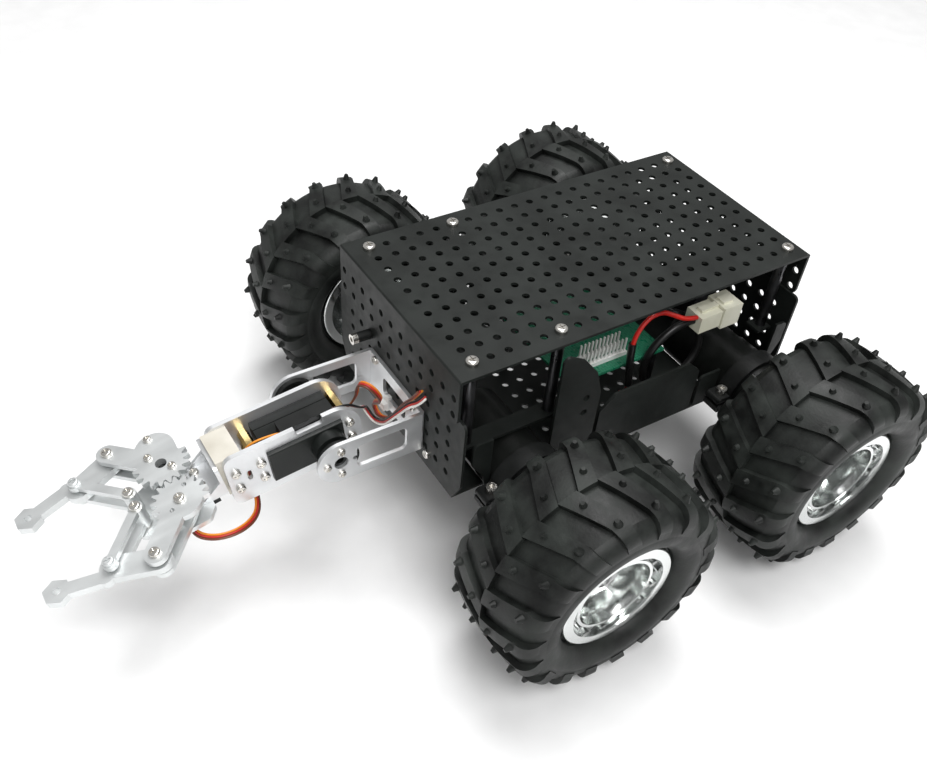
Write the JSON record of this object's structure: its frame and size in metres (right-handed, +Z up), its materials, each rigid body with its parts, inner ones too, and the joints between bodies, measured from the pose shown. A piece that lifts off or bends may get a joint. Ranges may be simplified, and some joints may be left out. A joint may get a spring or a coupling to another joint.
{
  "type": "wheeled robot with gripper arm",
  "caption": "Four-wheel rover chassis in perforated black sheet with chunky chevron tyres, a tilting servo arm and a geared two-finger gripper.",
  "frame": {"origin": "floor level, under the middle of the bounding box", "axes": "+Z up; -Y forward, the way the gripper points; +X to the robot's left"},
  "size_m": [0.3094, 0.4422, 0.1434],
  "materials": {
    "black_sheet": "satin black powder coat",
    "zinc_screw": "bright zinc",
    "dark_steel": "dark steel posts",
    "board_green": "solder mask",
    "header_plastic": "white strips and pins",
    "connector_cream": "cream nylon",
    "terminal_green": "dark terminal block",
    "wire_black": "black silicone wire",
    "wire_red": "red insulation",
    "black_plastic": "black moulded plastic",
    "motor_black": "black tube",
    "aluminium_bracket": "clear anodised sheet",
    "servo_black": "servo case",
    "white_nylon": "cable tie",
    "lead_ribbon": "three-wire ribbon",
    "brass": "hex brass posts",
    "block_cream": "cream moulded block",
    "tyre_rubber": "soft black rubber",
    "rim_chrome": "plated plastic rim",
    "hub_steel": "steel nut and bead bolts",
    "gripper_alu": "clear anodised plate"
  },
  "bodies": {
    "chassis": {"top_cover": "black_sheet", "lower_tray": "black_sheet", "cover_screws": "zinc_screw", "cover_standoffs": "dark_steel", "standoff_rails": "black_sheet", "control_board": "board_green", "header_pins": "header_plastic", "battery_connector": "connector_cream", "terminal_block": "terminal_green", "battery_wire": "wire_black", "red_wire": "wire_red", "front_spacer": "black_plastic", "front_cap_screw": "zinc_screw", "bracket_screws": "zinc_screw", "u_bracket": "aluminium_bracket", "servo_horn": "black_plastic", "idler_disc": "black_plastic", "cable_tie": "white_nylon", "shoulder_servo_lead": "lead_ribbon", "extension_lead": "lead_ribbon", "motor_clamps": "black_plastic", "clamp_screws": "zinc_screw", "gearmotor_fl": "motor_black", "gearmotor_fr": "motor_black", "gearmotor_rl": "motor_black", "gearmotor_rr": "motor_black"},
    "forearm": {"forearm_plate_left": "aluminium_bracket", "forearm_plate_right": "aluminium_bracket", "shoulder_servo": "servo_black", "forearm_standoffs": "brass", "forearm_screws": "zinc_screw", "shoulder_pin": "zinc_screw", "wrist_block": "block_cream", "lead_connectors": "black_plastic", "wrist_bracket": "aluminium_bracket", "gripper_base": "gripper_alu", "gripper_pillars": "zinc_screw", "gripper_servo": "servo_black", "gripper_lead": "lead_ribbon"},
    "wheel_fl": {"tyre_fl": "tyre_rubber", "rim_fl": "rim_chrome", "hub_fl": "hub_steel"},
    "wheel_fr": {"tyre_fr": "tyre_rubber", "rim_fr": "rim_chrome", "hub_fr": "hub_steel"},
    "wheel_rl": {"tyre_rl": "tyre_rubber", "rim_rl": "rim_chrome", "hub_rl": "hub_steel"},
    "wheel_rr": {"tyre_rr": "tyre_rubber", "rim_rr": "rim_chrome", "hub_rr": "hub_steel"},
    "gear_right": {"gear_link_right": "gripper_alu", "link_screws_right": "zinc_screw"},
    "idler_right": {"idler_link_right": "gripper_alu"},
    "finger_right": {"finger_right": "gripper_alu"},
    "gear_left": {"gear_link_left": "gripper_alu", "link_screws_left": "zinc_screw"},
    "idler_left": {"idler_link_left": "gripper_alu"},
    "finger_left": {"finger_left": "gripper_alu"}
  },
  "joints": [
    {"name": "shoulder_tilt", "type": "hinge", "parent": "chassis", "child": "forearm", "pos_m": [0, -0.07622, 0.0827], "axis": [1, 0, 0], "range_deg": [-90, 15], "deforming": ["shoulder_servo_lead", "extension_lead"]},
    {"name": "wheel_fl_spin", "type": "hinge", "parent": "chassis", "child": "wheel_fl", "pos_m": [0.1232, 0.00598, 0.0625], "axis": [1, 0, 0], "continuous": true},
    {"name": "wheel_fr_spin", "type": "hinge", "parent": "chassis", "child": "wheel_fr", "pos_m": [-0.1232, 0.00598, 0.0625], "axis": [1, 0, 0], "continuous": true},
    {"name": "wheel_rl_spin", "type": "hinge", "parent": "chassis", "child": "wheel_rl", "pos_m": [0.1232, 0.15858, 0.0625], "axis": [1, 0, 0], "continuous": true},
    {"name": "wheel_rr_spin", "type": "hinge", "parent": "chassis", "child": "wheel_rr", "pos_m": [-0.1232, 0.15858, 0.0625], "axis": [1, 0, 0], "continuous": true},
    {"name": "grip_drive", "type": "hinge", "parent": "forearm", "child": "gear_right", "pos_m": [-0.01455, -0.1505, 0.07425], "axis": [0, -0.1908, 0.9816], "range_deg": [-20, 37]},
    {"name": "idler_right_swing", "type": "hinge", "parent": "forearm", "child": "idler_right", "pos_m": [-0.00655, -0.16954, 0.07054], "axis": [0, -0.1908, 0.9816], "range_deg": [-20, 37]},
    {"name": "finger_right_pivot", "type": "hinge", "parent": "gear_right", "child": "finger_right", "pos_m": [-0.03649, -0.17058, 0.07034], "axis": [0, -0.1908, 0.9816], "range_deg": [-37, 20]},
    {"name": "grip_follow", "type": "hinge", "parent": "forearm", "child": "gear_left", "pos_m": [0.01105, -0.1505, 0.07425], "axis": [0, -0.1908, 0.9816], "range_deg": [-37, 20]},
    {"name": "idler_left_swing", "type": "hinge", "parent": "forearm", "child": "idler_left", "pos_m": [0.00305, -0.16954, 0.07054], "axis": [0, -0.1908, 0.9816], "range_deg": [-37, 20]},
    {"name": "finger_left_pivot", "type": "hinge", "parent": "gear_left", "child": "finger_left", "pos_m": [0.03299, -0.17058, 0.07034], "axis": [0, -0.1908, 0.9816], "range_deg": [-20, 37]}
  ],
  "couplings": [
    {"joint": "grip_follow", "follows": "grip_drive", "ratio": -1},
    {"joint": "idler_right_swing", "follows": "grip_drive", "ratio": 1},
    {"joint": "idler_left_swing", "follows": "grip_drive", "ratio": -1},
    {"joint": "finger_right_pivot", "follows": "grip_drive", "ratio": -1},
    {"joint": "finger_left_pivot", "follows": "grip_drive", "ratio": 1}
  ]
}
